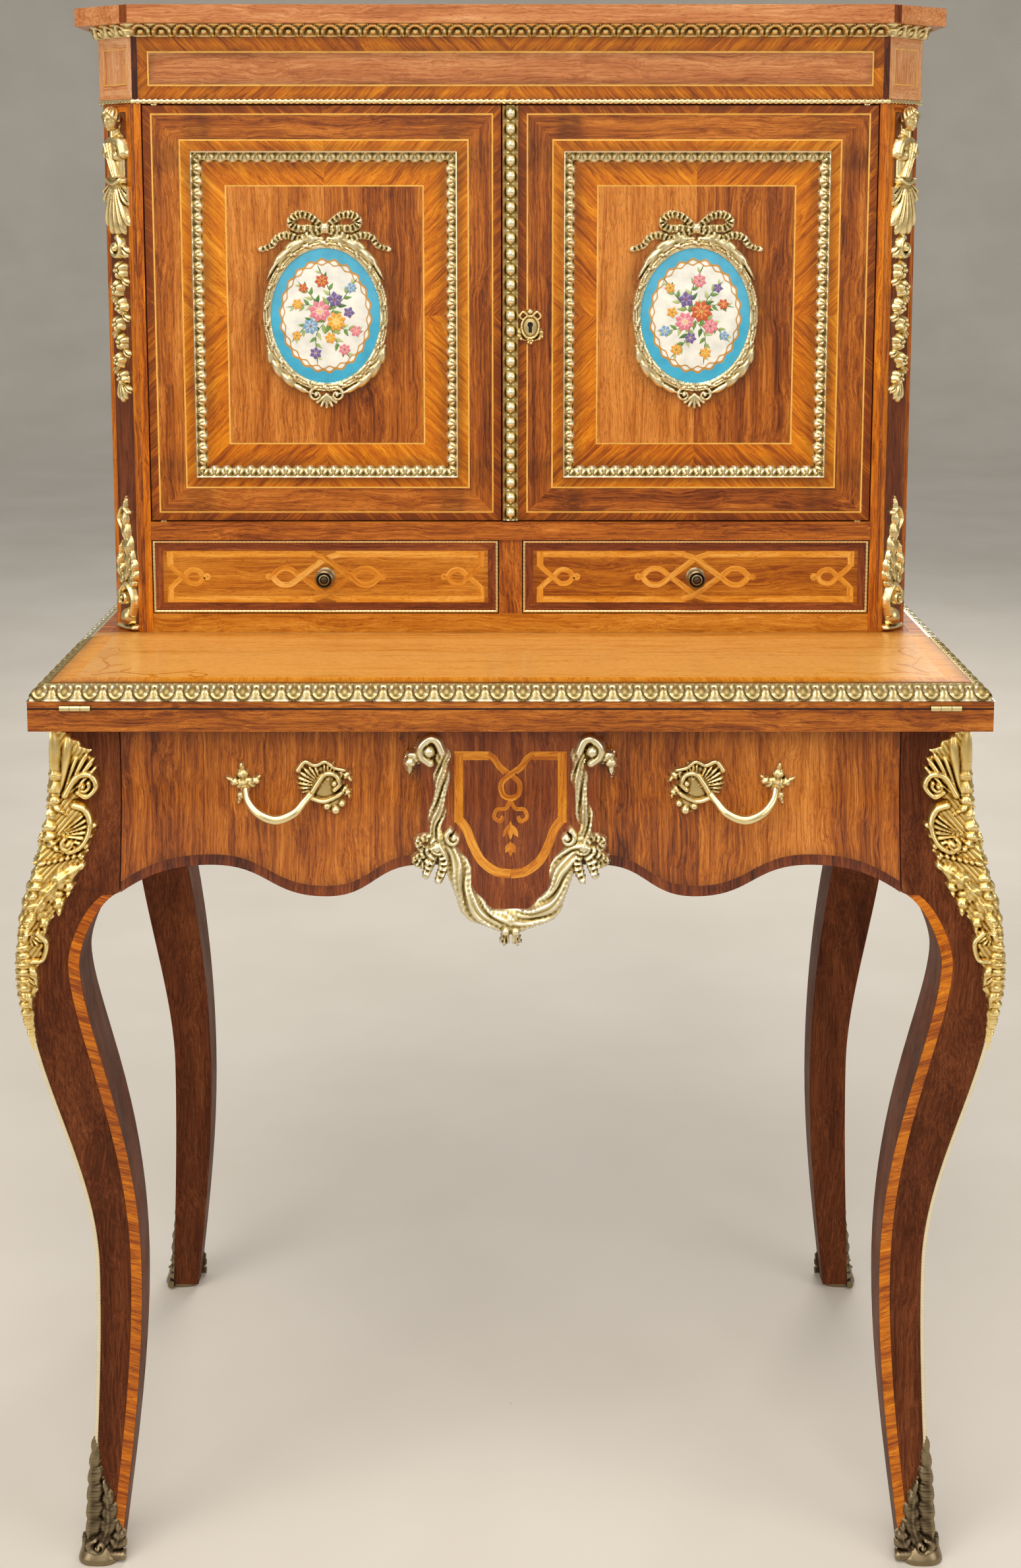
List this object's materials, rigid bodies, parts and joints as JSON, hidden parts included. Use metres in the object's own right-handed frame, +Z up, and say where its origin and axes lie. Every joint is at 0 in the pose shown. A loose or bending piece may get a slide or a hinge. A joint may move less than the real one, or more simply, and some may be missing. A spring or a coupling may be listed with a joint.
{
  "type": "bonheur du jour writing desk",
  "caption": "Lady's writing desk on cabriole legs with a fold-over leaf, a shaped frieze drawer and a small cabinet with plaque doors above drawers.",
  "frame": {"origin": "on the floor under the middle of the desk's box", "axes": "+Z up, the front looks along -Y, +X to the right seen from the front"},
  "size_m": [0.794, 0.525, 1.302],
  "materials": {
    "mahogany": "French polished, dark red-brown",
    "walnut_veneer": "French polished veneer",
    "tulipwood": "French polished crossbanded veneer",
    "oak": "bare, darkened with age",
    "ormolu": "cast, chased and gilt, dark in the hollows",
    "dark_bronze": "cast, worn and dulled",
    "hinge_brass": "rubbed",
    "porcelain": "painted and glazed",
    "leather": "tooled skiver"
  },
  "bodies": {
    "carcass": {"front_left_leg": "mahogany", "front_right_leg": "mahogany", "back_left_leg": "mahogany", "back_right_leg": "mahogany", "side_aprons": "mahogany", "back_apron": "oak", "drawer_bearers": "oak", "knee_mounts": "ormolu", "arris_trims": "ormolu", "sabots": "dark_bronze", "writing_bed": "mahogany", "bed_leather": "leather", "leaf_hinge_bed_halves": "hinge_brass", "fixed_top": "walnut_veneer", "fixed_top_mouldings": "ormolu", "corner_stiles": "tulipwood", "cabinet_sides": "walnut_veneer", "cabinet_back": "oak", "cabinet_floor": "walnut_veneer", "drawer_division": "walnut_veneer", "drawer_divider": "oak", "drawer_guides": "oak", "cupboard_shelf": "oak", "cabinet_top_board": "oak", "frieze_boards": "walnut_veneer", "frieze_rope_trim": "ormolu", "cornice_moulding": "ormolu", "cornice": "walnut_veneer", "stile_mounts": "ormolu", "door_pivots": "hinge_brass"},
    "writing_leaf": {"folding_leaf": "walnut_veneer", "leaf_moulding": "ormolu", "leaf_leather": "leather", "leaf_hinge_leaf_halves": "hinge_brass"},
    "frieze_drawer": {"frieze_drawer_front": "walnut_veneer", "frieze_drawer_tablet": "tulipwood", "frieze_drawer_sides": "oak", "frieze_drawer_back": "oak", "frieze_drawer_bottom": "oak", "frieze_drawer_handles": "ormolu", "apron_mount": "ormolu"},
    "left_door": {"left_door": "walnut_veneer", "left_door_moulding": "ormolu", "left_plaque": "porcelain", "left_plaque_frame": "ormolu"},
    "right_door": {"right_door": "walnut_veneer", "right_door_moulding": "ormolu", "right_plaque": "porcelain", "right_plaque_frame": "ormolu", "closing_astragal": "ormolu", "key_escutcheon": "ormolu", "door_lock_case": "hinge_brass"},
    "left_drawer": {"left_drawer_front": "tulipwood", "left_drawer_box": "oak", "left_drawer_knob": "dark_bronze"},
    "right_drawer": {"right_drawer_front": "tulipwood", "right_drawer_box": "oak", "right_drawer_knob": "dark_bronze"},
    "lock_bolt": {"lock_bolt": "hinge_brass"}
  },
  "joints": [
    {"name": "leaf_fold", "type": "hinge", "parent": "carcass", "child": "writing_leaf", "pos_m": [0, -0.2458, 0.746], "axis": [1, 0, 0], "range_deg": [0, 180]},
    {"name": "frieze_drawer_slide", "type": "slide", "parent": "carcass", "child": "frieze_drawer", "axis": [0, -1, 0], "range_m": [0, 0.24]},
    {"name": "left_door_swing", "type": "hinge", "parent": "carcass", "child": "left_door", "pos_m": [-0.3033, -0.0425, 1.0415], "axis": [0, 0, -1], "range_deg": [0, 100]},
    {"name": "right_door_swing", "type": "hinge", "parent": "carcass", "child": "right_door", "pos_m": [0.3033, -0.0425, 1.0415], "axis": [0, 0, 1], "range_deg": [0, 100]},
    {"name": "left_drawer_slide", "type": "slide", "parent": "carcass", "child": "left_drawer", "axis": [0, -1, 0], "range_m": [0, 0.17]},
    {"name": "right_drawer_slide", "type": "slide", "parent": "carcass", "child": "right_drawer", "axis": [0, -1, 0], "range_m": [0, 0.17]},
    {"name": "lock_bolt_throw", "type": "slide", "parent": "right_door", "child": "lock_bolt", "axis": [-1, 0, 0], "range_m": [0, 0.006]}
  ]
}
